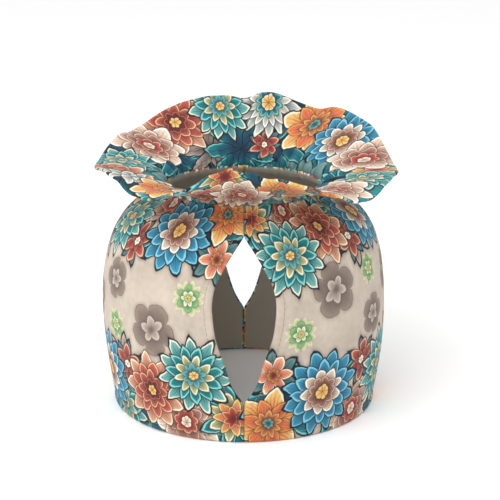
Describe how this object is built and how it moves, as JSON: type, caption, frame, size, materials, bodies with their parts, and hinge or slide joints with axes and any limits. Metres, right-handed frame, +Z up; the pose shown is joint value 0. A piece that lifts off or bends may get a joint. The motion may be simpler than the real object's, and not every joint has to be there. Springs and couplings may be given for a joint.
{
  "type": "tea cosy",
  "caption": "Padded cloth tea cosy with open seams for a spout and a handle and a gathered frill round its neck.",
  "frame": {"origin": "on the surface it stands on, under the middle of the neck", "axes": "+Z up, front with the spout opening at -Y, +X to the right seen from the front"},
  "size_m": [0.1688, 0.1595, 0.161],
  "materials": {
    "panel_cloth": "printed plain weave, matt",
    "frill_cloth": "printed plain weave, matt"
  },
  "bodies": {
    "root": {"panel_left": "panel_cloth", "panel_right": "panel_cloth", "frill": "frill_cloth"}
  },
  "joints": []
}
